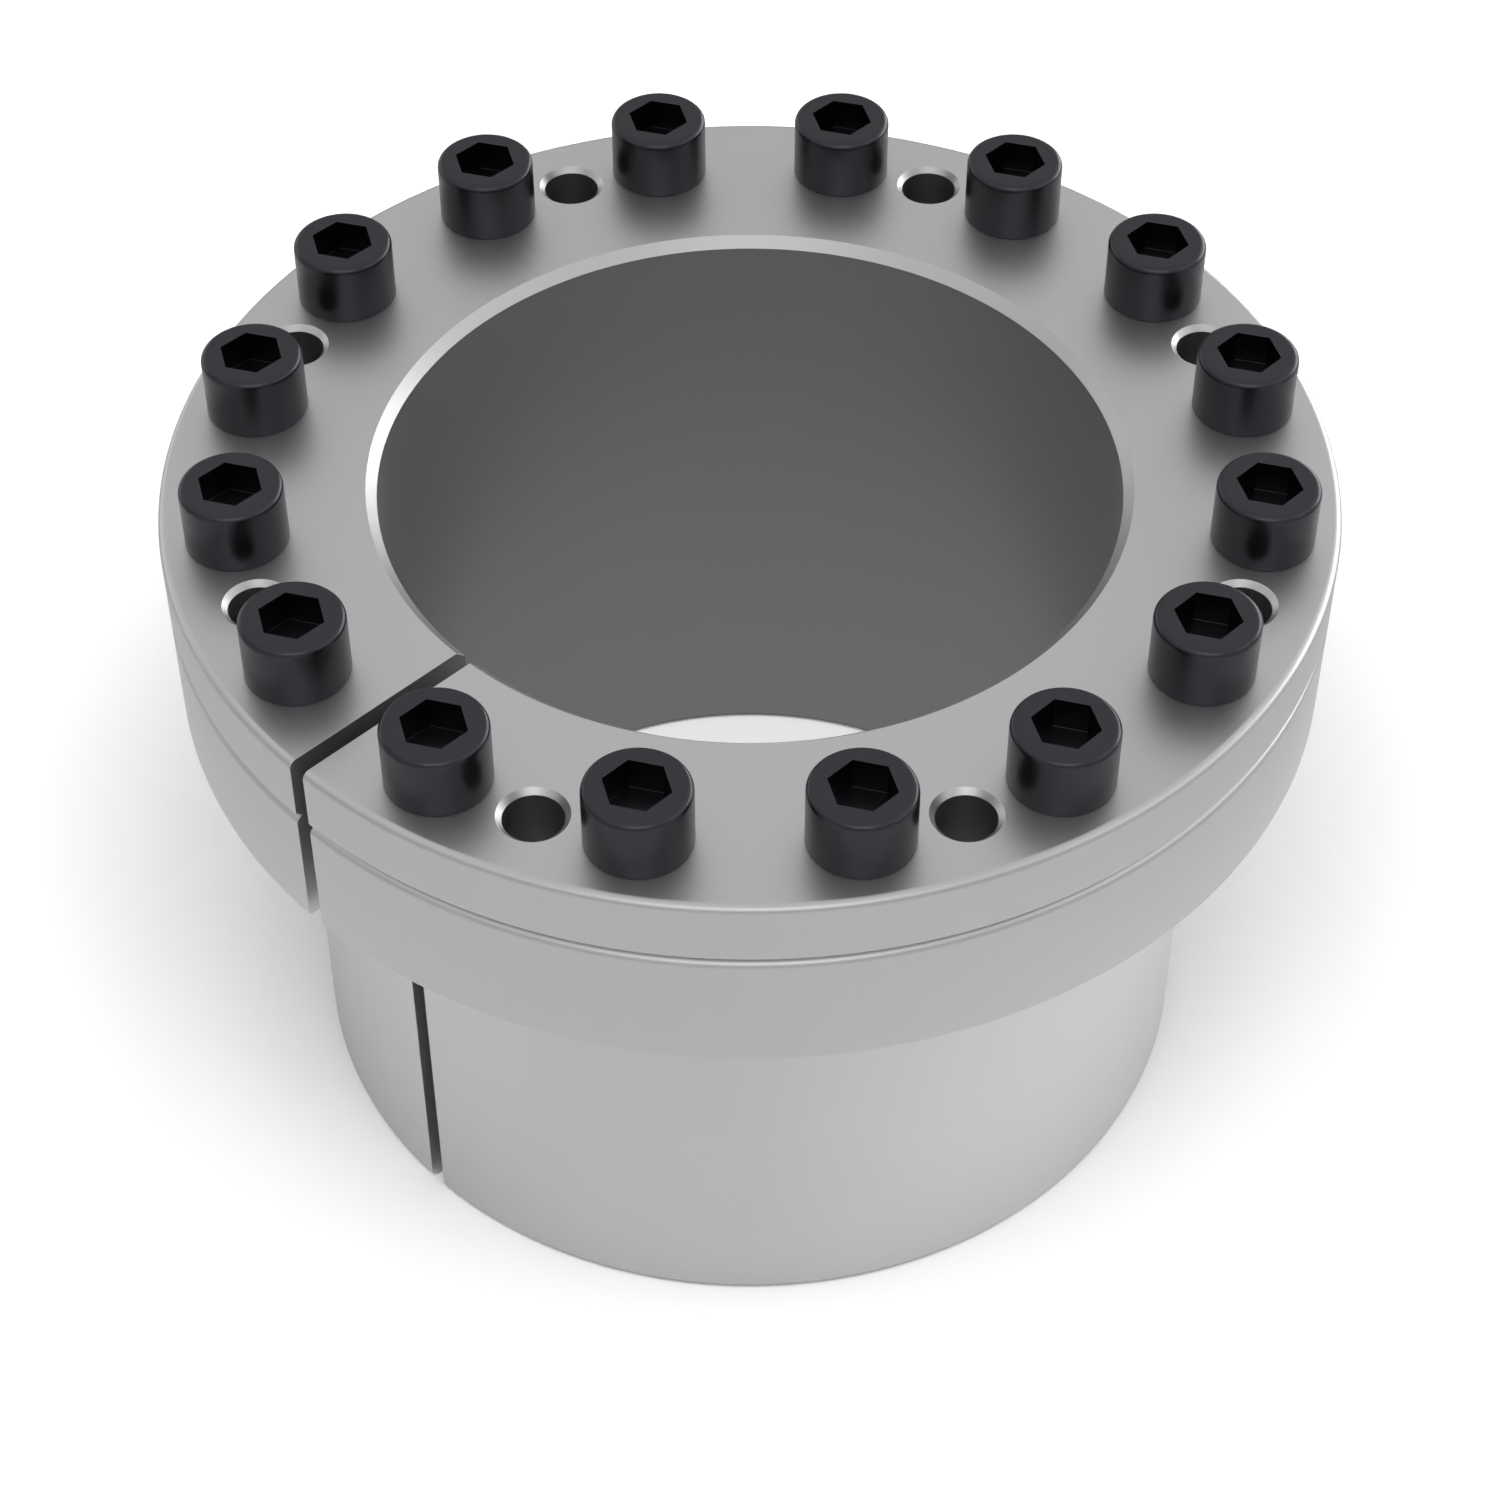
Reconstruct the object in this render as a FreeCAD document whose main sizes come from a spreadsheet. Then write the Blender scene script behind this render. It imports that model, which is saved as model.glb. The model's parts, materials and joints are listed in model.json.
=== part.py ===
import FreeCAD, Part
import os

import Sketcher

# Driving dimensions, in millimetres and degrees
SIZES = {
    "bore_dia": 131.5,
    "bore_mouth_chamfer": 1.85,
    "bore_end_chamfer": 1.0,
    "ring_wall": 18.35,
    "sleeve_length": 91.4,
    "sleeve_end_chamfer": 1.5,
    "inner_end_wall": 5.2,
    "inner_end_setback": 0.5,
    "taper_half_angle": 4.0,
    "taper_gap": 0.05,
    "taper_mouth_chamfer": 1.0,
    "taper_end_chamfer": 1.0,
    "collar_thick": 24.0,
    "collar_top_round": 1.5,
    "collar_under_chamfer": 0.5,
    "flange_thick": 13.0,
    "flange_top_round": 1.5,
    "flange_under_chamfer": 0.5,
    "rim_beyond_heads": 4.5,
    "slit_width": 3.2,
    "slit_angle": 225.0,
    "screw_dia": 12.0,
    "screw_tip_setback": 2.0,
    "head_dia": 18.0,
    "head_height": 12.0,
    "head_chamfer": 0.9,
    "socket_across": 10.0,
    "socket_depth": 6.0,
    "socket_angle": 15.0,
    "clearance_hole_play": 1.5,
    "thread_gap": 0.05,
    "tapped_hole_web": 0.1,
    "push_off_count": 8,
    "push_off_dia": 10.2,
    "push_off_rim_width": 1.0,
}

# Heights above the free end of the outer sleeve
COLLAR_UNDERSIDE = "sizes.sleeve_length"
COLLAR_TOP = "(sizes.sleeve_length + sizes.collar_thick)"
FLANGE_TOP = "(sizes.sleeve_length + sizes.collar_thick + sizes.flange_thick)"
INNER_END = "sizes.inner_end_setback"

# Radii, from the shaft outwards: the bore, the two mating cones, the hub fit, the screws and the rims
TAPER_SLOPE = "tan(sizes.taper_half_angle * 1 deg)"
BORE_RADIUS = "(sizes.bore_dia / 2)"
INNER_CONE_END = f"({BORE_RADIUS} + sizes.inner_end_wall)"
INNER_CONE_TOP = f"({INNER_CONE_END} + ({COLLAR_TOP} - {INNER_END}) * {TAPER_SLOPE})"
OUTER_CONE_TOP = f"({INNER_CONE_TOP} + sizes.taper_gap)"
OUTER_CONE_END = f"({OUTER_CONE_TOP} - {COLLAR_TOP} * {TAPER_SLOPE})"
SLEEVE_RADIUS = f"({BORE_RADIUS} + sizes.ring_wall)"
TAPPED_RADIUS = "(sizes.screw_dia / 2 + sizes.thread_gap)"
SCREW_CIRCLE_RADIUS = f"({SLEEVE_RADIUS} + sizes.tapped_hole_web + {TAPPED_RADIUS})"
RIM_RADIUS = f"({SCREW_CIRCLE_RADIUS} + sizes.head_dia / 2 + sizes.rim_beyond_heads)"
SLIT_REACH = f"(2 * {RIM_RADIUS})"
CLEARANCE_RADIUS = "((sizes.screw_dia + sizes.clearance_hole_play) / 2)"
PUSH_OFF_RADIUS = "(sizes.push_off_dia / 2)"
PUSH_OFF_RIM_RADIUS = f"({PUSH_OFF_RADIUS} + sizes.push_off_rim_width)"

# The screws straddle the slit in equal steps, and a push-off hole lies in every other gap between them
SCREWS_PER_PUSH_OFF = 2
SCREW_COUNT = f"({SCREWS_PER_PUSH_OFF} * sizes.push_off_count)"
SCREW_STEP = f"(360 deg / {SCREW_COUNT})"
SLIT_ANGLE = "(sizes.slit_angle * 1 deg)"
FIRST_SCREW_ANGLE = f"({SLIT_ANGLE} + {SCREW_STEP} / 2)"
FIRST_PUSH_OFF_ANGLE = f"({SLIT_ANGLE} + {SCREW_STEP})"

# The screw's own radii, and its heights above its tip
SHANK_RADIUS = "(sizes.screw_dia / 2)"
HEAD_RADIUS = "(sizes.head_dia / 2)"
HEAD_SEAT = "(sizes.flange_thick + sizes.collar_thick - sizes.screw_tip_setback)"
HEAD_TOP = f"({HEAD_SEAT} + sizes.head_height)"

# The hexagonal socket: half a side spans this angle, and its first corner lies half a side past a flat
HEX_SIDES = 6
HALF_SIDE = f"(180 deg / {HEX_SIDES})"
SOCKET_CORNER_ANGLE = f"(sizes.socket_angle * 1 deg + {HALF_SIDE})"
SOCKET_CORNER_RADIUS = f"(sizes.socket_across / 2 / cos{HALF_SIDE})"

FULL_TURN = 360
COUNTERSINK_ANGLE = 90
UPWARD = FreeCAD.Vector(0, 0, 1)

# Two lengths in millimetres that differ by less than this are the same
SAME_LENGTH = 1e-4


def fill_sheet(document):
    """Put every driving dimension into the document's sheet under its own name."""
    sheet = document.addObject("Spreadsheet::Sheet", "sizes")
    for row, (name, value) in enumerate(SIZES.items(), start=1):
        sheet.set(f"A{row}", str(value))
        sheet.setAlias(f"A{row}", name)
    document.recompute()


def number(item, formula):
    """The present value of a formula that is written in the sheet's names."""
    value = item.evalExpression(formula)
    return float(getattr(value, "Value", value))


def own_origin(body, role):
    """One of the body's own origin planes or axes."""
    return next(item for item in body.Origin.OriginFeatures if item.Role == role)


def new_sketch(body, name, plane="XY_Plane", height=None, turn=None):
    """A sketch on an origin plane, raised to a height and turned about the axis where these are given."""
    sketch = body.newObject("Sketcher::SketchObject", name)
    sketch.AttachmentSupport = [(own_origin(body, plane), "")]
    sketch.MapMode = "FlatFace"
    if height:
        sketch.setExpression("AttachmentOffset.Base.z", height)
    if turn:
        sketch.setExpression("AttachmentOffset.Rotation.Angle", turn)
    return sketch


def bind(sketch, formula, *constraint):
    """Add a dimension to the sketch and tie its value to a formula."""
    index = sketch.addConstraint(Sketcher.Constraint(*constraint, number(sketch, formula)))
    sketch.setExpression(f"Constraints[{index}]", formula)


def pin_corner(sketch, line, across, up):
    """Hold the start of a line at its distances from the sketch's origin, or on an axis where one is 0."""
    if across == "0":
        sketch.addConstraint(Sketcher.Constraint("PointOnObject", line, 1, -2))
    else:
        bind(sketch, across, "DistanceX", -1, 1, line, 1)
    if up == "0":
        sketch.addConstraint(Sketcher.Constraint("PointOnObject", line, 1, -1))
    else:
        bind(sketch, up, "DistanceY", -1, 1, line, 1)


def add_loop(sketch, places):
    """Straight lines through these places, joined end to start into one closed loop."""
    for start, end in zip(places, places[1:] + places[:1]):
        sketch.addGeometry(Part.LineSegment(start, end))
    for line in range(len(places)):
        following = (line + 1) % len(places)
        sketch.addConstraint(Sketcher.Constraint("Coincident", line, 2, following, 1))


def turned(body, name, corners):
    """A solid of revolution about the body's axis, from corners given as radius and height."""
    sketch = new_sketch(body, f"{name}_profile", plane="XZ_Plane")
    places = [FreeCAD.Vector(number(sketch, across), number(sketch, up)) for across, up in corners]
    add_loop(sketch, places)
    for line, (across, up) in enumerate(corners):
        pin_corner(sketch, line, across, up)
    revolution = body.newObject("PartDesign::Revolution", name)
    revolution.Profile = sketch
    revolution.ReferenceAxis = (sketch, ["V_Axis"])
    revolution.Angle = FULL_TURN
    body.Document.recompute()


def round_edges(feature, radius, height):
    """Names of the feature's circular edges that have this radius and lie at this height."""
    wanted = number(feature, radius), number(feature, height)
    names = []
    for index, edge in enumerate(feature.Shape.Edges, start=1):
        if not isinstance(edge.Curve, Part.Circle):
            continue
        found = edge.Curve.Radius, edge.Curve.Center.z
        if all(abs(a - b) < SAME_LENGTH for a, b in zip(found, wanted)):
            names.append(f"Edge{index}")
    if not names:
        raise RuntimeError(f"{feature.Label} has no circular edge of radius {radius} at height {height}")
    return names


def dress_edge(body, kind, name, size, radius, height):
    """Break one circular edge of the body: kind is Fillet or Chamfer, and size its radius or its width."""
    base = body.Tip
    feature = body.newObject(f"PartDesign::{kind}", name)
    feature.Base = (base, round_edges(base, radius, height))
    feature.setExpression("Radius" if kind == "Fillet" else "Size", size)
    body.Document.recompute()


def check_cut(body, name, volume_before):
    """Stop if a cutting feature has taken nothing away."""
    if body.Tip.Shape.Volume >= volume_before:
        raise RuntimeError(f"{name} cuts nothing from {body.Label}")


def cut_slit(body):
    """Saw the ring through on one side, along its whole height."""
    name = f"{body.Name}_slit"
    volume_before = body.Tip.Shape.Volume
    sketch = new_sketch(body, f"{name}_profile", turn=SLIT_ANGLE)
    half = number(sketch, "sizes.slit_width / 2")
    reach = number(sketch, SLIT_REACH)
    corners = [(0, -half), (reach, -half), (reach, half), (0, half)]
    places = [FreeCAD.Vector(across, up) for across, up in corners]
    add_loop(sketch, places)
    lower_side, outer_side, upper_side, axis_side = range(len(corners))
    for side in (lower_side, upper_side):
        sketch.addConstraint(Sketcher.Constraint("Horizontal", side))
    for side in (outer_side, axis_side):
        sketch.addConstraint(Sketcher.Constraint("Vertical", side))
    sketch.addConstraint(Sketcher.Constraint("Symmetric", axis_side, 1, axis_side, 2, -1, 1))
    bind(sketch, "sizes.slit_width", "DistanceY", outer_side, 1, outer_side, 2)
    bind(sketch, SLIT_REACH, "DistanceX", -1, 1, outer_side, 1)
    pocket = body.newObject("PartDesign::Pocket", name)
    pocket.Profile = sketch
    pocket.Type = "ThroughAll"
    pocket.Reversed = True
    body.Document.recompute()
    check_cut(body, name, volume_before)


def drill_circle(body, name, height, first_angle, count, radius, rim_radius=None):
    """Drill a circle of equal holes down from a height, with a countersunk rim where one is given."""
    volume_before = body.Tip.Shape.Volume
    sketch = new_sketch(body, f"{name}_place", height=height, turn=first_angle)
    centre = FreeCAD.Vector(number(sketch, SCREW_CIRCLE_RADIUS), 0)
    sketch.addGeometry(Part.Circle(centre, UPWARD, number(sketch, radius)))
    sketch.addConstraint(Sketcher.Constraint("PointOnObject", 0, 3, -1))
    bind(sketch, SCREW_CIRCLE_RADIUS, "DistanceX", -1, 1, 0, 3)
    bind(sketch, radius, "Radius", 0)
    hole = body.newObject("PartDesign::Hole", name)
    hole.Profile = sketch
    body.Document.recompute()
    hole.DepthType = "ThroughAll"
    hole.setExpression("Diameter", f"2 * {radius}")
    if rim_radius:
        hole.HoleCutType = "Countersink"
        hole.HoleCutCountersinkAngle = COUNTERSINK_ANGLE
        hole.setExpression("HoleCutDiameter", f"2 * {rim_radius}")
    body.Document.recompute()
    pattern = body.newObject("PartDesign::PolarPattern", f"{name}_circle")
    pattern.Originals = [hole]
    pattern.Axis = (own_origin(body, "Z_Axis"), [""])
    pattern.Angle = FULL_TURN
    pattern.setExpression("Occurrences", count)
    body.Tip = pattern
    body.Document.recompute()
    check_cut(body, name, volume_before)


def outer_ring(document):
    """Collar and sleeve in one piece, with the taper inside and the tapped holes for the screws."""
    body = document.addObject("PartDesign::Body", "outer_ring")
    corners = [
        (OUTER_CONE_END, "0"),
        (SLEEVE_RADIUS, "0"),
        (SLEEVE_RADIUS, COLLAR_UNDERSIDE),
        (RIM_RADIUS, COLLAR_UNDERSIDE),
        (RIM_RADIUS, COLLAR_TOP),
        (OUTER_CONE_TOP, COLLAR_TOP),
    ]
    turned(body, "outer_ring_turning", corners)
    dress_edge(body, "Fillet", "collar_top_edge", "sizes.collar_top_round", RIM_RADIUS, COLLAR_TOP)
    dress_edge(body, "Chamfer", "collar_under_edge", "sizes.collar_under_chamfer", RIM_RADIUS, COLLAR_UNDERSIDE)
    dress_edge(body, "Chamfer", "sleeve_end_edge", "sizes.sleeve_end_chamfer", SLEEVE_RADIUS, "0")
    dress_edge(body, "Chamfer", "taper_mouth_edge", "sizes.taper_mouth_chamfer", OUTER_CONE_TOP, COLLAR_TOP)
    dress_edge(body, "Chamfer", "outer_cone_end_edge", "sizes.taper_end_chamfer", OUTER_CONE_END, "0")
    cut_slit(body)
    drill_circle(body, "tapped_hole", COLLAR_TOP, FIRST_SCREW_ANGLE, SCREW_COUNT, TAPPED_RADIUS)
    return body


def inner_ring(document):
    """Flange and tapered sleeve in one piece, with the shaft bore, screw holes and push-off holes."""
    body = document.addObject("PartDesign::Body", "inner_ring")
    corners = [
        (BORE_RADIUS, INNER_END),
        (INNER_CONE_END, INNER_END),
        (INNER_CONE_TOP, COLLAR_TOP),
        (RIM_RADIUS, COLLAR_TOP),
        (RIM_RADIUS, FLANGE_TOP),
        (BORE_RADIUS, FLANGE_TOP),
    ]
    turned(body, "inner_ring_turning", corners)
    dress_edge(body, "Fillet", "flange_top_edge", "sizes.flange_top_round", RIM_RADIUS, FLANGE_TOP)
    dress_edge(body, "Chamfer", "flange_under_edge", "sizes.flange_under_chamfer", RIM_RADIUS, COLLAR_TOP)
    dress_edge(body, "Chamfer", "bore_mouth_edge", "sizes.bore_mouth_chamfer", BORE_RADIUS, FLANGE_TOP)
    dress_edge(body, "Chamfer", "bore_end_edge", "sizes.bore_end_chamfer", BORE_RADIUS, INNER_END)
    dress_edge(body, "Chamfer", "inner_cone_end_edge", "sizes.taper_end_chamfer", INNER_CONE_END, INNER_END)
    cut_slit(body)
    drill_circle(body, "clearance_hole", FLANGE_TOP, FIRST_SCREW_ANGLE, SCREW_COUNT, CLEARANCE_RADIUS)
    push_off = "sizes.push_off_count", PUSH_OFF_RADIUS, PUSH_OFF_RIM_RADIUS
    drill_circle(body, "push_off_hole", FLANGE_TOP, FIRST_PUSH_OFF_ANGLE, *push_off)
    return body


def cut_socket(body):
    """Sink the hexagonal socket into the screw's head."""
    name = f"{body.Name}_socket"
    volume_before = body.Tip.Shape.Volume
    sketch = new_sketch(body, f"{name}_profile", height=HEAD_TOP, turn=SOCKET_CORNER_ANGLE)
    corner_radius = number(sketch, SOCKET_CORNER_RADIUS)
    turns = [FreeCAD.Rotation(UPWARD, FULL_TURN / HEX_SIDES * side) for side in range(HEX_SIDES)]
    places = [turn.multVec(FreeCAD.Vector(corner_radius, 0)) for turn in turns]
    add_loop(sketch, places)
    circle = sketch.addGeometry(Part.Circle(FreeCAD.Vector(), UPWARD, corner_radius), True)
    sketch.addConstraint(Sketcher.Constraint("Coincident", circle, 3, -1, 1))
    bind(sketch, SOCKET_CORNER_RADIUS, "Radius", circle)
    for side in range(HEX_SIDES):
        sketch.addConstraint(Sketcher.Constraint("PointOnObject", side, 1, circle))
    for side in range(1, HEX_SIDES):
        sketch.addConstraint(Sketcher.Constraint("Equal", 0, side))
    sketch.addConstraint(Sketcher.Constraint("PointOnObject", 0, 1, -1))
    pocket = body.newObject("PartDesign::Pocket", name)
    pocket.Profile = sketch
    pocket.setExpression("Length", "sizes.socket_depth")
    body.Document.recompute()
    check_cut(body, name, volume_before)


def socket_screw(document, place):
    """One cap screw, its head seated on the flange over one hole, counted round from the slit."""
    body = document.addObject("PartDesign::Body", f"screw_{place + 1:02d}")
    corners = [
        ("0", "0"),
        (SHANK_RADIUS, "0"),
        (SHANK_RADIUS, HEAD_SEAT),
        (HEAD_RADIUS, HEAD_SEAT),
        (HEAD_RADIUS, HEAD_TOP),
        ("0", HEAD_TOP),
    ]
    name = body.Name
    turned(body, f"{name}_turning", corners)
    dress_edge(body, "Chamfer", f"{name}_head_edge", "sizes.head_chamfer", HEAD_RADIUS, HEAD_TOP)
    cut_socket(body)
    angle = f"({FIRST_SCREW_ANGLE} + {place} * {SCREW_STEP})"
    body.setExpression("Placement.Base.x", f"{SCREW_CIRCLE_RADIUS} * cos{angle}")
    body.setExpression("Placement.Base.y", f"{SCREW_CIRCLE_RADIUS} * sin{angle}")
    body.setExpression("Placement.Base.z", f"{FLANGE_TOP} - {HEAD_SEAT}")
    return body


def check_document(document, bodies):
    """Stop if any object has failed, or if a sub-part isn't one sound solid."""
    for item in document.Objects:
        if "Invalid" in item.State or "Error" in item.State:
            raise RuntimeError(f"{item.Label} did not compute: {item.State}")
    for body in bodies:
        shape = body.Shape
        if shape.isNull() or not shape.isValid() or len(shape.Solids) != 1:
            raise RuntimeError(f"{body.Label} is not one sound solid")


def main():
    document = FreeCAD.newDocument("keyless_locking_assembly")
    fill_sheet(document)
    rings = [outer_ring(document), inner_ring(document)]
    screw_count = SCREWS_PER_PUSH_OFF * SIZES["push_off_count"]
    bodies = rings + [socket_screw(document, place) for place in range(screw_count)]
    document.recompute()
    check_document(document, bodies)
    os.makedirs("parts", exist_ok=True)
    for body in bodies:
        body.Shape.exportStep(f"parts/{body.Label}.step")


main()
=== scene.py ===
import json
import math

import bpy
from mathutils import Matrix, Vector
from mathutils.geometry import tessellate_polygon

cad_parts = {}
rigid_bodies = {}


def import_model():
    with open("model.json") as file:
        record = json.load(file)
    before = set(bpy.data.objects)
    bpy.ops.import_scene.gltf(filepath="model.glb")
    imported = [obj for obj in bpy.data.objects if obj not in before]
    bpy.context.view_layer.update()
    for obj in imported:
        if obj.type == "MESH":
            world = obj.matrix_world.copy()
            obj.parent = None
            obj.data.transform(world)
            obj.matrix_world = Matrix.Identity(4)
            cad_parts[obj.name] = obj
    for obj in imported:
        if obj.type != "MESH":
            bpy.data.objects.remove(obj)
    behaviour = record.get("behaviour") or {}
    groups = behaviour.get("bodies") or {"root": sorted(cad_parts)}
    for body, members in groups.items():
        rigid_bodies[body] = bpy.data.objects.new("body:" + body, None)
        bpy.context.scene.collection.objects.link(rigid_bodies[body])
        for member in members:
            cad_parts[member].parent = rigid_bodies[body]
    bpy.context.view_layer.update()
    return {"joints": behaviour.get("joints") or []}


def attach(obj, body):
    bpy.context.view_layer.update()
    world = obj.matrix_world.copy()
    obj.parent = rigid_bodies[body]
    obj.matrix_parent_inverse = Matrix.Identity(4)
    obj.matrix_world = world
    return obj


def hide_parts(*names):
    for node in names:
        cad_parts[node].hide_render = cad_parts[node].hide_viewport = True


# the factory scene's own objects make way for the part
for o in list(bpy.data.objects):
    bpy.data.objects.remove(o)

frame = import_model()
scene = bpy.context.scene

# Sizes are in metres and angles in degrees. First the two rings, whose axis is Z and which meet at FACE_Z.
BORE_R = 0.06575
SLEEVE_R = 0.0841
RIM_R = 0.10375
COLLAR_Z = 0.0914
FACE_Z = 0.1154
TOP_Z = 0.1284
INNER_END_Z = 0.0005
TAPER_ANGLE = 4
TAPER_SLOPE = math.tan(math.radians(TAPER_ANGLE))
TAPER_GAP = 0.00005
INNER_CONE_END = 0.07095
INNER_CONE_TOP = INNER_CONE_END + (FACE_Z - INNER_END_Z) * TAPER_SLOPE

# The round of both upper rims, and the legs of the chamfers
RIM_ROUND = 0.0015
BORE_MOUTH = 0.00185
BORE_END = 0.001
SLEEVE_END = 0.0015
COLLAR_UNDER = 0.0005
FLANGE_UNDER = 0.0012
TAPER_EDGE = 0.001

# The slit, and the holes, which are all on one circle
SLIT_ANGLE = 225
SLIT_HALF = 0.0016
SCREW_CIRCLE_R = 0.09025
SCREWS = 16
SCREW_STEP = 360 / SCREWS
CLEARANCE_R = 0.00675
TAPPED_R = 0.00605
PUSH_OFF_HOLES = 8
PUSH_OFF_R = 0.0051
PUSH_OFF_RIM = 0.001
# a hole's outline comes in along its upper face, and goes out along its lower one, this far from its axis
HOLE_LEAD = 0.02

# The smallest broken edges, and how finely the meshes go round
EDGE = 0.00015
SLIT_EDGE = 0.0001
EDGE_STEPS = 3
HOLE_EDGE_STEPS = 2
RIM_STEPS = 12
RING_AROUND = 360
AROUND = 72
TURNS = [2 * math.pi * k / AROUND for k in range(AROUND)]
SHARP_ANGLE = 28
# lengths below this count as nothing
TINY = 1e-7

# One screw. Its own zero is the middle of its bearing face, and +Z is towards its head.
HEAD_R = 0.009
HEAD_H = 0.012
HEAD_ROUND = 0.0013
HEAD_STEPS = 10
HEAD_FOOT = 0.0002
FOOT_STEPS = 3
SOCKET_HALF = 0.005
SOCKET_DEPTH = 0.006
SOCKET_ANGLE = 15
SOCKET_SIDE = 60
SOCKET_FILLET = 0.00003
SHANK_R = 0.00595
NECK_FILLET = 0.0006
NECK_STEPS = 5
SHANK_LENGTH = 0.035
TIP_R = 0.0047
TIP_CHAMFER = 0.0005
PITCH = 0.00175
ROOT_R = 0.00493
THREAD_START = 0.0045
# a point of the thread that comes this near to its upper end is put at the end
THREAD_SLACK = 1e-6
# one pitch of the thread as (height in pitches, radius): its crest is an eighth wide, its root a quarter
PROFILE = ((-1 / 16, SHANK_R), (1 / 16, SHANK_R), (3 / 8, ROOT_R), (5 / 8, ROOT_R))

# The finishes. A noise seldom leaves the range from NOISE_LOW to NOISE_HIGH.
NOISE_LOW = 0.3
NOISE_HIGH = 0.7
# turning marks for each metre across them, and how many broad bands come for each mark
MARKS = 2300.0
BANDS = 0.09
# scales of the noises that have no direction
STEEL_CLOUD = 34.0
STEEL_GRAIN = 2600.0
OXIDE_CLOUD = 260.0
OXIDE_GRAIN = 5200.0
# how far each noise moves the steel's tone and its roughness, up and down
MARK_TONE = 0.012
BAND_TONE = 0.006
CLOUD_TONE = 0.008
ROUGHNESS_SWING = 0.012
# the marks' share of the steel's bump, and the clouds' share of the oxide's tone: the grain is the rest
MARK_SHARE = 0.8
CLOUD_SHARE = 0.7
# strength and height of each bump
STEEL_BUMP = (0.06, 0.00002)
OXIDE_BUMP = (0.12, 0.00001)
# the steel's finishes as (dark colour, light colour, roughness), and their places in a ring's materials.
# The drilled finish is a duller drilled surface and also painted shade: its much darker colour stands in
# for the shade inside the holes.
TURNED = ((0.560, 0.562, 0.567, 1), (0.600, 0.602, 0.606, 1), 0.40)
DRILLED_AND_SHADED = ((0.300, 0.301, 0.304, 1), (0.340, 0.341, 0.344, 1), 0.45)
TURNED_SLOT = 0
DRILLED_AND_SHADED_SLOT = 1
# the oxide's dark and light colour, and the lowest and highest roughness
OXIDE_COLOURS = ((0.051, 0.051, 0.058, 1), (0.060, 0.060, 0.068, 1))
OXIDE_ROUGHNESS = (0.27, 0.33)

# The floor as the steel sees it, with painted light and shade for the steel's reflections. Near the part,
# its tone is the sum of two ramps (x, x, tone, tone).
FLOOR_LEFT = (-0.15, -0.06, 0.87, 0.74)
FLOOR_RIGHT = (0.0, 0.13, 0.0, 0.31)
# between these distances it goes over to the tone of the far floor
NEAR_END = 0.14
FAR_START = 0.19
FLOOR_FAR = 0.62
# inside the bore, the paint keeps only this share of its tone, as painted shade, and glows a little, as a
# painted glow in place of light
INSIDE_R = (BORE_R + SLEEVE_R) / 2
INSIDE_SHADE_SHARE = 0.06
INSIDE_PAINTED_GLOW = 0.21
# The floor as the camera sees it, by distance: its tone, and a glow that keeps it white far away
FLOOR_SEEN = (0.12, 0.30, 0.97, 1.32)
FLOOR_WHITE = (0.35, 1.20, 0.0, 0.60)
FLOOR_HALF = 4.0
FLOOR_DROP = 0.00002

# The world's strength as the part sees it, and as the camera does
WORLD = 0.50
WORLD_SEEN = 1.02

# The lights look at AIM. Each is (place, size, watts).
AIM = (0.0, 0.0, 0.10)
KEY = ((0.03, -0.52, 1.29), (0.9, 0.6), 14.0)
HIGHLIGHTS = {
    "side": ((1.01, 0.79, 0.30), (1.3, 0.50), 7.5),
    "left": ((-1.01, 0.79, 0.30), (1.1, 0.45), 1.1),
    "right": ((1.12, -0.28, 0.59), (0.9, 0.6), 0.9),
    "front": ((0.0, -1.02, 0.90), (0.9, 0.55), 1.5),
    "roof": ((0.0, 0.0, 1.60), (5.0, 5.0), 20.5),
}

# The camera: its tilt is in radians, and its lens and sensor are in millimetres
CAMERA_PLACE = (0.0, -0.45621, 0.52573)
CAMERA_TILT = 0.77234
CAMERA_LENS = 82.09
CAMERA_SENSOR = 36.0
CAMERA_CLIP = (0.01, 50.0)


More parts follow.
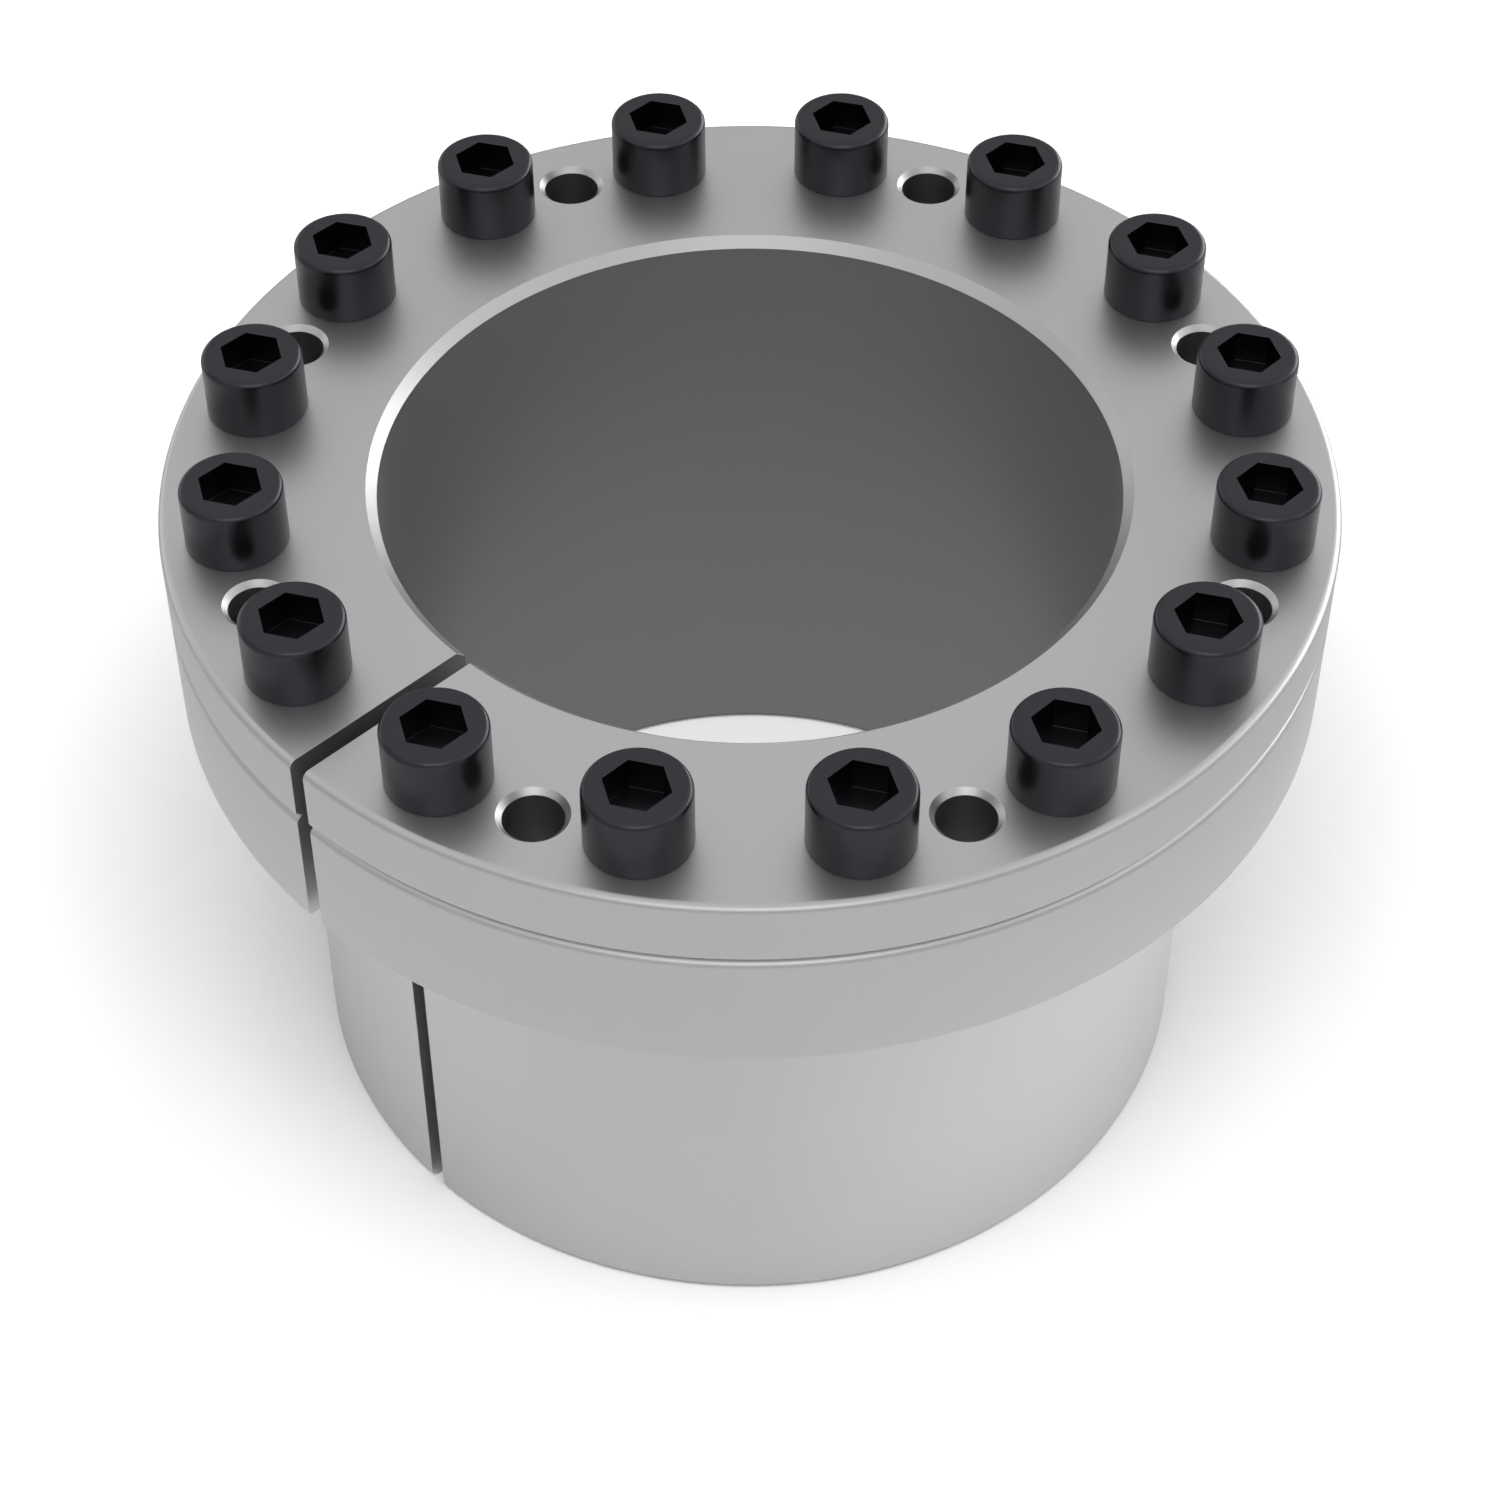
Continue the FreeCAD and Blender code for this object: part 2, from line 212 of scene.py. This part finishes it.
# Node helpers
class Nodes:
    """Short calls for the nodes of one material or world."""

    def __init__(self, tree):
        self.tree = tree

    def add(self, kind, **values):
        node = self.tree.nodes.new(kind)
        for name, value in values.items():
            setattr(node, name, value)
        return node

    def put(self, value, socket):
        """Links an output to a socket, or sets the socket to a plain value."""
        if isinstance(value, bpy.types.NodeSocket):
            self.tree.links.new(value, socket)
        else:
            socket.default_value = value

    def math(self, operation, a, b=0.0, clamp=False):
        node = self.add("ShaderNodeMath", operation=operation, use_clamp=clamp)
        self.put(a, node.inputs[0])
        self.put(b, node.inputs[1])
        return node.outputs[0]

    def ramp(self, value, low, high, to_low, to_high):
        node = self.add("ShaderNodeMapRange")
        for v, name in ((value, "Value"), (low, "From Min"), (high, "From Max"),
                        (to_low, "To Min"), (to_high, "To Max")):
            self.put(v, node.inputs[name])
        return node.outputs["Result"]

    def swing(self, noise, reach):
        """The noise, moved so that it runs from -reach to reach."""
        return self.ramp(noise, NOISE_LOW, NOISE_HIGH, -reach, reach)

    def blend(self, a, b, share):
        """Two values in one, where a has the given share and b the rest."""
        return self.math("ADD", self.math("MULTIPLY", a, share), self.math("MULTIPLY", b, 1 - share))

    def mix(self, factor, a, b):
        """One colour out of two. The Mix node's sockets 6, 7 and 2 are those for colours."""
        node = self.add("ShaderNodeMix", data_type="RGBA")
        self.put(factor, node.inputs["Factor"])
        self.put(a, node.inputs[6])
        self.put(b, node.inputs[7])
        return node.outputs[2]

    def noise(self, vector, scale, detail, w=None, roughness=0.5):
        """A noise in three dimensions, or in four where w is given."""
        node = self.add("ShaderNodeTexNoise", noise_dimensions="3D" if w is None else "4D")
        self.put(vector, node.inputs["Vector"])
        if w is not None:
            self.put(w, node.inputs["W"])
        node.inputs["Scale"].default_value = scale
        node.inputs["Detail"].default_value = detail
        node.inputs["Roughness"].default_value = roughness
        return node.outputs["Fac"]


def blank_nodes(owner):
    """The emptied node tree of a material or world."""
    owner.use_nodes = True
    owner.node_tree.nodes.clear()
    return Nodes(owner.node_tree)


# Materials
def new_metal(name):
    material = bpy.data.materials.new(name)
    n = blank_nodes(material)
    out = n.add("ShaderNodeOutputMaterial")
    shader = n.add("ShaderNodeBsdfPrincipled")
    shader.inputs["Metallic"].default_value = 1.0
    n.put(shader.outputs[0], out.inputs["Surface"])
    return material, n, shader


def add_bump(n, shader, height, strength, distance):
    bump = n.add("ShaderNodeBump")
    bump.inputs["Strength"].default_value = strength
    bump.inputs["Distance"].default_value = distance
    n.put(height, bump.inputs["Height"])
    n.put(bump.outputs[0], shader.inputs["Normal"])


def bare_steel(name, dark, light, roughness):
    """Fine-turned steel: marks run round the part's axis, on flat faces and on walls alike."""
    material, n, shader = new_metal(name)
    place = n.add("ShaderNodeTexCoord").outputs["Object"]
    split = n.add("ShaderNodeSeparateXYZ")
    n.put(place, split.inputs[0])
    x, y, z = split.outputs
    radius = n.math("SQRT", n.math("ADD", n.math("MULTIPLY", x, x), n.math("MULTIPLY", y, y)))
    # one number that grows across the marks, whichever way the face looks
    across = n.math("ADD", n.math("MULTIPLY", radius, MARKS), n.math("MULTIPLY", z, MARKS))
    turn = n.add("ShaderNodeCombineXYZ")
    n.put(n.math("DIVIDE", x, radius), turn.inputs[0])
    n.put(n.math("DIVIDE", y, radius), turn.inputs[1])
    marks = n.noise(turn.outputs[0], scale=1.0, detail=3.0, w=across, roughness=0.6)
    bands = n.noise(turn.outputs[0], scale=0.8, detail=2.0, w=n.math("MULTIPLY", across, BANDS))
    cloud = n.noise(place, scale=STEEL_CLOUD, detail=3.0)
    grain = n.noise(place, scale=STEEL_GRAIN, detail=2.0)

    tone = n.math("ADD", n.swing(marks, MARK_TONE), n.swing(bands, BAND_TONE))
    tone = n.math("ADD", tone, n.swing(cloud, CLOUD_TONE))
    n.put(n.mix(n.math("ADD", tone, 0.5, clamp=True), dark, light), shader.inputs["Base Color"])
    rough = n.math("ADD", roughness, n.swing(marks, ROUGHNESS_SWING))
    rough = n.math("ADD", rough, n.swing(cloud, ROUGHNESS_SWING))
    n.put(rough, shader.inputs["Roughness"])
    add_bump(n, shader, n.blend(marks, grain, MARK_SHARE), *STEEL_BUMP)
    return material


def black_oxide():
    """Black-oxide screw steel, lightly oiled: near black with a cool tinge, and a fine uneven grain."""
    material, n, shader = new_metal("black_oxide")
    place = n.add("ShaderNodeTexCoord").outputs["Object"]
    cloud = n.noise(place, scale=OXIDE_CLOUD, detail=3.0)
    grain = n.noise(place, scale=OXIDE_GRAIN, detail=2.0)
    tone = n.blend(cloud, grain, CLOUD_SHARE)
    n.put(n.mix(tone, *OXIDE_COLOURS), shader.inputs["Base Color"])
    n.put(n.ramp(tone, NOISE_LOW, NOISE_HIGH, *OXIDE_ROUGHNESS), shader.inputs["Roughness"])
    add_bump(n, shader, grain, *OXIDE_BUMP)
    return material


# Meshes
def spun(flat, angle):
    """A pair (outwards, up) as a place or a direction, at an angle in radians round the axis."""
    return flat[0] * math.cos(angle), flat[0] * math.sin(angle), flat[1]


class Skin:
    """Collects points and faces, with a normal for each face corner. (0, 0, 0) leaves it to Blender."""

    def __init__(self):
        self.points = []
        self.faces = []
        self.slots = []
        self.normals = []

    def add(self, place):
        self.points.append(tuple(place))
        return len(self.points) - 1

    def face(self, corners, normals, slot=0):
        self.faces.append(tuple(corners))
        self.slots.append(slot)
        self.normals += [tuple(v) for v in normals]

    def wall(self, first, second, first_normal=(0, 0), second_normal=(0, 0), slot=0):
        """Quads between two closed rings of points, with a normal (outwards, up) along each."""
        for k in range(AROUND):
            j = (k + 1) % AROUND
            self.face((first[k], first[j], second[j], second[k]),
                      (spun(first_normal, TURNS[k]), spun(first_normal, TURNS[j]),
                       spun(second_normal, TURNS[j]), spun(second_normal, TURNS[k])), slot)

    def mesh(self, name):
        mesh = bpy.data.meshes.new(name)
        mesh.from_pydata(self.points, [], self.faces)
        mesh.update()
        mesh.polygons.foreach_set("use_smooth", [True] * len(mesh.polygons))
        mesh.polygons.foreach_set("material_index", self.slots)
        mesh.set_sharp_from_angle(angle=math.radians(SHARP_ANGLE))
        mesh.normals_split_custom_set([Vector(v) for v in self.normals])
        return mesh


def softened(corners, closed=True):
    """Breaks the corners of an outline, whose solid is on its left. A corner is (across, up) where it stays
    sharp, or (across, up, round radius, steps). The two ends of an open outline only give the directions
    there. The result is a list of (across, up, normal before, normal after)."""
    count = len(corners)
    path = []
    for i, (x, z, *bend) in enumerate(corners):
        if not closed and i in (0, count - 1):
            continue
        here = Vector((x, z))
        into = (here - Vector(corners[i - 1][:2])).normalized()
        out = (Vector(corners[(i + 1) % count][:2]) - here).normalized()
        n_in = Vector((into.y, -into.x))
        n_out = Vector((out.y, -out.x))
        if not bend:
            path.append((x, z, n_in, n_out))
            continue
        size, steps = bend
        sign = 1 if into.x * out.y - into.y * out.x > 0 else -1
        back = size * math.tan(into.angle(out) / 2)
        centre = here - into * back - n_in * size * sign
        whole = n_in.angle(n_out)
        for k in range(steps + 1):
            if k in (0, steps):
                n = n_in.lerp(n_out, k / steps)
            else:
                n = n_in * math.sin(whole * (1 - k / steps)) + n_out * math.sin(whole * k / steps)
            n.normalize()
            at = centre + n * size * sign
            path.append((at.x, at.y, n, n))
    return path


def chamfered(corners, cuts):
    """The outline with some corners cut off. cuts gives the leg of each, by the corner's number."""
    result = []
    for i, corner in enumerate(corners):
        if i not in cuts:
            result.append(corner)
            continue
        here = Vector(corner[:2])
        for other in (i - 1, (i + 1) % len(corners)):
            away = (Vector(corners[other][:2]) - here).normalized() * cuts[i]
            result.append((*(here + away), EDGE, EDGE_STEPS))
    return result


# Rings
def ring_angle(r, k):
    """Angle of point k on a ring of radius r, which runs from one wall of the slit round to the other."""
    gap = math.asin((SLIT_HALF + SLIT_EDGE) / r)
    return math.radians(SLIT_ANGLE) + gap + (2 * math.pi - 2 * gap) * k / RING_AROUND


def level(z):
    """A height rounded to a micrometre, by which the holes that come out there are found."""
    return round(z, 6)


def drill(skin, x, y, outline):
    """The wall of one hole. The result gives the ring of points where it comes out, by height."""
    path = softened(outline, closed=False)
    rings = []
    for r, z, *_ in path:
        places = [spun((r, z), a) for a in TURNS]
        rings.append([skin.add((x + px, y + py, pz)) for px, py, pz in places])
    for i in range(len(path) - 1):
        # straight hole walls get the darker drilled steel, whose colour is partly painted shade for the
        # hollow
        straight = abs(path[i][0] - path[i + 1][0]) < TINY
        skin.wall(rings[i], rings[i + 1], path[i][3], path[i + 1][2],
                  DRILLED_AND_SHADED_SLOT if straight else TURNED_SLOT)
    return {level(path[0][1]): rings[0], level(path[-1][1]): rings[-1]}


def pierced_face(skin, outer, inner, rims, up):
    """A flat face between two rings, with holes in it, as triangles. up is the way it looks, 1 or -1."""
    loops = [outer + inner[::-1]] + rims
    numbers = [p for loop in loops for p in loop]
    for triangle in tessellate_polygon([[Vector(skin.points[p]) for p in loop] for loop in loops]):
        corners = [numbers[t] for t in triangle]
        a, b, c = (skin.points[p] for p in corners)
        turn = (b[0] - a[0]) * (c[1] - a[1]) - (b[1] - a[1]) * (c[0] - a[0])
        if turn * up < 0:
            corners.reverse()
        skin.face(corners, [(0, 0, up)] * 3)


def slit_wall(skin, path, rings, side):
    """One wall of the slit, inside a narrow broken edge. side is 1 where the rings start, and -1 where they
    end."""
    slit = math.radians(SLIT_ANGLE)
    along = Vector((math.cos(slit), math.sin(slit)))
    across = Vector((-along.y, along.x)) * side
    wall_normal = (-across.x, -across.y, 0.0)
    end = 0 if side > 0 else RING_AROUND
    inner = []
    for r, z, before, after in path:
        mitre = (before + after) / (1 + before.dot(after))
        reach = math.sqrt((r - SLIT_EDGE * mitre.x) ** 2 - SLIT_HALF ** 2)
        at = along * reach + across * SLIT_HALF
        inner.append(skin.add((at.x, at.y, z - SLIT_EDGE * mitre.y)))
    count = len(path)
    for i in range(count):
        j = (i + 1) % count
        corners = [rings[i][end], rings[j][end], inner[j], inner[i]]
        normals = [spun(path[i][3], ring_angle(path[i][0], end)),
                   spun(path[j][2], ring_angle(path[j][0], end)), wall_normal, wall_normal]
        if side < 0:
            corners.reverse()
            normals.reverse()
        skin.face(corners, normals)
    skin.face(inner if side > 0 else inner[::-1], [wall_normal] * count)


def ring_skin(outline, holes):
    """One slit ring, turned from its outline. A hole is (x, y, its outline from the top downwards)."""
    skin = Skin()
    path = softened(outline)
    rings = []
    for r, z, *_ in path:
        rings.append([skin.add(spun((r, z), ring_angle(r, k))) for k in range(RING_AROUND + 1)])
    rims = {}
    for hole in holes:
        for height, rim in drill(skin, *hole).items():
            rims.setdefault(height, []).append(rim)

    for i, (r_low, z_low, _, n_low) in enumerate(path):
        j = (i + 1) % len(path)
        r_high, z_high, n_high, _ = path[j]
        low, high = rings[i], rings[j]
        if abs(z_low - z_high) < TINY and level(z_low) in rims:
            outer, inner = (low, high) if r_low > r_high else (high, low)
            pierced_face(skin, outer, inner, rims[level(z_low)], 1.0 if n_low.y > 0 else -1.0)
            continue
        for k in range(RING_AROUND):
            skin.face((low[k], low[k + 1], high[k + 1], high[k]),
                      (spun(n_low, ring_angle(r_low, k)), spun(n_low, ring_angle(r_low, k + 1)),
                       spun(n_high, ring_angle(r_high, k + 1)), spun(n_high, ring_angle(r_high, k))))
    slit_wall(skin, path, rings, 1)
    slit_wall(skin, path, rings, -1)
    return skin


def hole_places(first_angle, count):
    """The middles of evenly spaced holes on the circle of the screws."""
    angles = [math.radians(first_angle + 360 / count * k) for k in range(count)]
    return [(SCREW_CIRCLE_R * math.cos(a), SCREW_CIRCLE_R * math.sin(a)) for a in angles]


SCREW_PLACES = hole_places(SLIT_ANGLE + SCREW_STEP / 2, SCREWS)
PUSH_OFF_PLACES = hole_places(SLIT_ANGLE + SCREW_STEP, PUSH_OFF_HOLES)


def outer_ring_skin():
    """The collar and its sleeve, with the taper inside."""
    cone_top = INNER_CONE_TOP + TAPER_GAP
    cone_end = cone_top - FACE_Z * TAPER_SLOPE
    corners = [(cone_end, 0.0), (SLEEVE_R, 0.0), (SLEEVE_R, COLLAR_Z), (RIM_R, COLLAR_Z),
               (RIM_R, FACE_Z, RIM_ROUND, RIM_STEPS), (cone_top, FACE_Z)]
    outline = chamfered(corners, {0: TAPER_EDGE, 1: SLEEVE_END, 3: COLLAR_UNDER, 5: TAPER_EDGE})
    tapped = [(HOLE_LEAD, FACE_Z), (TAPPED_R, FACE_Z, EDGE, HOLE_EDGE_STEPS), (TAPPED_R, COLLAR_Z),
              (HOLE_LEAD, COLLAR_Z)]
    return ring_skin(outline, [(x, y, tapped) for x, y in SCREW_PLACES])


def inner_ring_skin():
    """The flange and its bush, with the bore inside and the taper outside."""
    corners = [(BORE_R, INNER_END_Z), (INNER_CONE_END, INNER_END_Z), (INNER_CONE_TOP, FACE_Z),
               (RIM_R, FACE_Z), (RIM_R, TOP_Z, RIM_ROUND, RIM_STEPS), (BORE_R, TOP_Z)]
    outline = chamfered(corners, {0: BORE_END, 1: TAPER_EDGE, 3: FLANGE_UNDER, 5: BORE_MOUTH})
    clearance = [(HOLE_LEAD, TOP_Z), (CLEARANCE_R, TOP_Z, EDGE, HOLE_EDGE_STEPS),
                 (CLEARANCE_R, FACE_Z, EDGE, HOLE_EDGE_STEPS), (HOLE_LEAD, FACE_Z)]
    push_off = [(HOLE_LEAD, TOP_Z), (PUSH_OFF_R + PUSH_OFF_RIM, TOP_Z, EDGE, EDGE_STEPS),
                (PUSH_OFF_R, TOP_Z - PUSH_OFF_RIM, EDGE, EDGE_STEPS),
                (PUSH_OFF_R, FACE_Z, EDGE, HOLE_EDGE_STEPS), (HOLE_LEAD, FACE_Z)]
    holes = [(x, y, clearance) for x, y in SCREW_PLACES]
    holes += [(x, y, push_off) for x, y in PUSH_OFF_PLACES]
    return ring_skin(outline, holes)


def place_rings(materials):
    for name, node, skin in (("collar_and_sleeve", "outer_ring", outer_ring_skin()),
                             ("flange_and_bush", "inner_ring", inner_ring_skin())):
        mesh = skin.mesh(name)
        for material in materials:
            mesh.materials.append(material)
        ring = bpy.data.objects.new(name, mesh)
        scene.collection.objects.link(ring)
        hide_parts(node)
        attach(ring, node)


# Screws
def arc(centre_r, centre_z, size, start, end, steps, inside=False):
    """Points (r, z, normal r, normal z) of a round, or of a fillet, where inside is true."""
    sign = -1 if inside else 1
    points = []
    for k in range(steps + 1):
        a = math.radians(start + (end - start) * k / steps)
        c = math.cos(a)
        s = math.sin(a)
        points.append((centre_r + size * c, centre_z + size * s, sign * c, sign * s))
    return points


def hexagon(half):
    """A function that gives a hexagon's radius at an angle. half is half its width across the flats."""
    def radius(angle):
        off = (angle - SOCKET_ANGLE + SOCKET_SIDE / 2) % SOCKET_SIDE - SOCKET_SIDE / 2
        return half / math.cos(math.radians(off))
    return radius


class ScrewSkin(Skin):
    """A skin made of rings of points round the screw's own axis."""

    def ring(self, z, radius):
        """A ring at a height. radius is a number, or a function that gives one for an angle in degrees."""
        sizes = [radius(math.degrees(a)) if callable(radius) else radius for a in TURNS]
        return [self.add(spun((r, z), a)) for r, a in zip(sizes, TURNS)]

    def turned(self, profile, first):
        """Walls through profile points (r, z, normal r, normal z) from a first ring. A place that comes
        twice is a sharp edge."""
        ring = first
        for last, point in zip(profile, profile[1:]):
            if math.dist(last[:2], point[:2]) < TINY:
                continue
            new = self.ring(point[1], point[0])
            self.wall(ring, new, last[2:], point[2:])
            ring = new
        return ring

    def lid(self, ring, up):
        self.face(ring if up else ring[::-1], [(0, 0, 1 if up else -1)] * AROUND)

    def thread(self, low, high, start, top):
        """A thread between the rings start and top, as columns of points that climb one pitch in each turn.
        It grows out of the tip's radius at its start, and runs out in the last pitch."""
        columns = []
        for k in range(AROUND):
            column = []
            # one turn more than fits at the start, and two at the end, since the columns climb
            for turn in range(-1, int((high - low) / PITCH) + 3):
                for step, profile_r in PROFILE:
                    z = low + (turn + step + k / AROUND) * PITCH
                    if z <= low:
                        column.append(start[k])
                    elif z >= high - THREAD_SLACK:
                        column.append(top[k])
                    else:
                        radius = min(profile_r, TIP_R + (z - low))
                        run_out = min((high - z) / PITCH, 1.0)
                        radius = SHANK_R + (radius - SHANK_R) * run_out
                        column.append(self.add(spun((radius, z), TURNS[k])))
            columns.append(column)
        # after a whole turn the last column meets the first one a pitch higher up
        columns.append(columns[0][len(PROFILE):] + [top[0]] * len(PROFILE))
        for here, after in zip(columns, columns[1:]):
            for row in range(len(here) - 1):
                corners = list(dict.fromkeys((here[row], after[row], after[row + 1], here[row + 1])))
                if len(corners) > 2:
                    self.face(corners, [(0, 0, 0)] * len(corners))


def screw_mesh():
    s = ScrewSkin()
    # the tip: a flat end and a short chamfer up to the thread
    thread_end = -SHANK_LENGTH + TIP_CHAMFER
    end = s.ring(-SHANK_LENGTH, TIP_R - TIP_CHAMFER)
    s.lid(end, False)
    start = s.ring(thread_end, TIP_R)
    s.wall(end, start)
    top = s.ring(-THREAD_START, SHANK_R)
    s.thread(thread_end, -THREAD_START, start, top)

    # the plain neck, the fillet under the head, the bearing face, and the head's wall and round
    neck = SHANK_R + NECK_FILLET
    profile = [(SHANK_R, -THREAD_START, 1, 0), (SHANK_R, -NECK_FILLET, 1, 0)]
    profile += arc(neck, -NECK_FILLET, NECK_FILLET, 180, 90, NECK_STEPS, inside=True)
    profile += [(neck, 0.0, 0, -1), (HEAD_R - HEAD_FOOT, 0.0, 0, -1)]
    profile += arc(HEAD_R - HEAD_FOOT, HEAD_FOOT, HEAD_FOOT, -90, 0, FOOT_STEPS)
    profile += arc(HEAD_R - HEAD_ROUND, HEAD_H - HEAD_ROUND, HEAD_ROUND, 0, 90, HEAD_STEPS)
    rim = s.turned(profile, top)

    # the flat top, the hexagon's walls, and its floor inside a small fillet
    mouth = s.ring(HEAD_H, hexagon(SOCKET_HALF))
    s.wall(rim, mouth, (0, 1), (0, 1))
    floor_z = HEAD_H - SOCKET_DEPTH
    deep = s.ring(floor_z + SOCKET_FILLET, hexagon(SOCKET_HALF))
    s.wall(mouth, deep)
    inner = s.ring(floor_z, hexagon(SOCKET_HALF - SOCKET_FILLET))
    s.wall(deep, inner)
    s.lid(inner, True)
    return s.mesh("socket_screw")


def place_screws(material):
    hinges = {j["child"]: j for j in frame["joints"] if j["type"] == "hinge"}
    mesh = screw_mesh()
    mesh.materials.append(material)
    for name, joint in sorted(hinges.items()):
        screw = bpy.data.objects.new(f"cap_{name}", mesh)
        scene.collection.objects.link(screw)
        screw.location = joint["pos_m"]
        bpy.context.view_layer.update()
        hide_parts(name)
        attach(screw, name)


# Floor, light and camera
def make_floor():
    """A pale floor, which the camera sees lighter than the steel does. The tone that the steel sees has
    painted light and shade.
    """
    material = bpy.data.materials.new("pale_floor")
    n = blank_nodes(material)
    out = n.add("ShaderNodeOutputMaterial")
    paint = n.add("ShaderNodeBsdfDiffuse")
    # the camera's own rays see one floor, and the rays from the part see another
    seen = n.add("ShaderNodeLightPath").outputs["Is Camera Ray"]
    unseen = n.math("SUBTRACT", 1.0, seen)
    place = n.add("ShaderNodeTexCoord").outputs["Object"]
    length = n.add("ShaderNodeVectorMath", operation="LENGTH")
    n.put(place, length.inputs[0])
    away = length.outputs["Value"]
    split = n.add("ShaderNodeSeparateXYZ")
    n.put(place, split.inputs[0])
    x = split.outputs[0]
    inside = n.math("LESS_THAN", away, INSIDE_R)
    # near the part the steel sees the floor grow lighter to both sides, and most to the right, a painted
    # pool of light for its reflections
    near = n.math("ADD", n.ramp(x, *FLOOR_LEFT), n.ramp(x, *FLOOR_RIGHT))
    tone = n.ramp(away, NEAR_END, FAR_START, near, FLOOR_FAR)
    # inside the bore the tone that the steel sees is darkened: painted shade
    tone = n.math("MULTIPLY", tone, n.ramp(inside, 0.0, 1.0, 1.0, INSIDE_SHADE_SHARE))
    tone = n.math("ADD", n.math("MULTIPLY", tone, unseen),
                  n.math("MULTIPLY", n.ramp(away, *FLOOR_SEEN), seen))
    grey = n.add("ShaderNodeCombineColor")
    for channel in grey.inputs:
        n.put(tone, channel)
    n.put(grey.outputs[0], paint.inputs["Color"])
    # inside the bore the steel sees a darkened, even floor that glows a little, as painted shade and a
    # painted glow, and the camera sees a white floor as far as it goes
    lift = n.add("ShaderNodeEmission")
    painted_bore_glow = n.math("MULTIPLY", n.math("MULTIPLY", unseen, inside), INSIDE_PAINTED_GLOW)
    white = n.math("MULTIPLY", seen, n.ramp(away, *FLOOR_WHITE))
    n.put(n.math("ADD", painted_bore_glow, white), lift.inputs["Strength"])
    both = n.add("ShaderNodeAddShader")
    n.put(paint.outputs[0], both.inputs[0])
    n.put(lift.outputs[0], both.inputs[1])
    n.put(both.outputs[0], out.inputs["Surface"])

    mesh = bpy.data.meshes.new("floor")
    corners = [(-FLOOR_HALF, -FLOOR_HALF, 0), (FLOOR_HALF, -FLOOR_HALF, 0),
               (FLOOR_HALF, FLOOR_HALF, 0), (-FLOOR_HALF, FLOOR_HALF, 0)]
    mesh.from_pydata(corners, [], [(0, 1, 2, 3)])
    mesh.materials.append(material)
    floor = bpy.data.objects.new("floor", mesh)
    scene.collection.objects.link(floor)
    # a hair below the part, so that the two faces don't fight
    floor.location = (0, 0, -FLOOR_DROP)


def make_world():
    world = bpy.data.worlds.new("pale_studio")
    n = blank_nodes(world)
    out = n.add("ShaderNodeOutputWorld")
    sky = n.add("ShaderNodeBackground")
    sky.inputs["Color"].default_value = (1, 1, 1, 1)
    seen = n.add("ShaderNodeLightPath").outputs["Is Camera Ray"]
    n.put(n.math("ADD", WORLD, n.math("MULTIPLY", seen, WORLD_SEEN - WORLD)), sky.inputs["Strength"])
    n.put(sky.outputs[0], out.inputs["Surface"])
    scene.world = world


def soft_light(name, place, size, watts):
    data = bpy.data.lights.new(name, "AREA")
    data.shape = "RECTANGLE"
    data.size, data.size_y = size
    data.energy = watts
    light = bpy.data.objects.new(name, data)
    light.location = place
    light.rotation_euler = (Vector(AIM) - Vector(place)).to_track_quat("-Z", "Y").to_euler()
    scene.collection.objects.link(light)
    return light


def make_camera():
    data = bpy.data.cameras.new("camera")
    data.lens = CAMERA_LENS
    data.sensor_width = CAMERA_SENSOR
    data.clip_start, data.clip_end = CAMERA_CLIP
    camera = bpy.data.objects.new("camera", data)
    camera.location = CAMERA_PLACE
    camera.rotation_euler = (CAMERA_TILT, 0.0, 0.0)
    scene.collection.objects.link(camera)
    scene.camera = camera


# the second steel is darker for the holes: a duller drilled finish and painted shade
place_rings((bare_steel("turned_steel_satin", *TURNED), bare_steel("drilled_and_shaded_steel", *DRILLED_AND_SHADED)))
place_screws(black_oxide())
make_floor()
make_world()
# the key light shines on the floor and casts the shadow, and the five others are seen only as highlights
soft_light("key", *KEY).visible_glossy = False
for name, light in HIGHLIGHTS.items():
    soft_light(name, *light).visible_diffuse = False
make_camera()

scene.view_settings.view_transform = "Standard"
